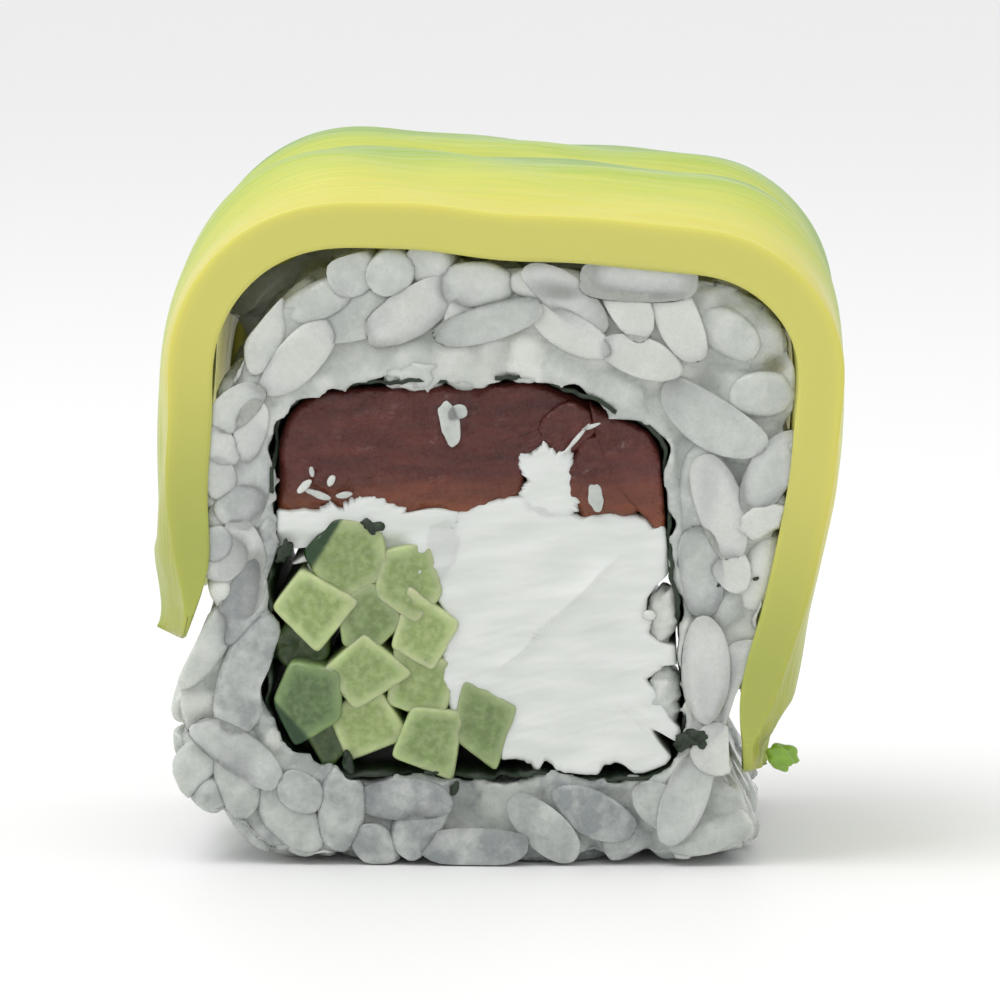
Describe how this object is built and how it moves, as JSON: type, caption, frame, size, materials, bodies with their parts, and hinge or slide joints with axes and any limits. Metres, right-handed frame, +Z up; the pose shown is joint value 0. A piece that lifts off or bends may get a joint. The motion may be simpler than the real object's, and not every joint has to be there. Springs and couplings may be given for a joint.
{
  "type": "uramaki roll",
  "caption": "Piece of an inside-out sushi roll: rice round nori, fish, cream cheese and cucumber, draped with overlapping avocado slices, cut on both ends.",
  "frame": {"origin": "middle of the piece's box at the flat underside of the rice", "axes": "+Z up, the front cut face looks along -Y, +X to the right across the cut face, Y along the roll"},
  "size_m": [0.0392, 0.025, 0.0407],
  "materials": {
    "rice": "moist cooked short-grain rice, translucent grey-white",
    "nori": "damp pressed seaweed sheet, near-black green",
    "fish": "cured fish cut across the grain, wet dark brownish red",
    "cream_cheese": "cream cheese smeared by the knife, satin white",
    "cucumber": "raw cucumber sticks, wet translucent green with some dark skin",
    "avocado": "ripe avocado slices, buttery yellow at the seed side to green at the skin side"
  },
  "bodies": {
    "root": {"rice": "rice", "nori": "nori", "fish_wide": "fish", "fish_narrow": "fish", "cream_cheese": "cream_cheese", "cucumber_stick_01": "cucumber", "cucumber_stick_02": "cucumber", "cucumber_stick_03": "cucumber", "cucumber_stick_04": "cucumber", "cucumber_stick_05": "cucumber", "cucumber_stick_06": "cucumber", "cucumber_stick_07": "cucumber", "cucumber_stick_08": "cucumber", "cucumber_stick_09": "cucumber", "cucumber_stick_10": "cucumber", "cucumber_stick_11": "cucumber", "cucumber_stick_12": "cucumber", "cucumber_stick_13": "cucumber", "avocado_front": "avocado", "avocado_middle": "avocado", "avocado_back": "avocado"}
  },
  "joints": []
}
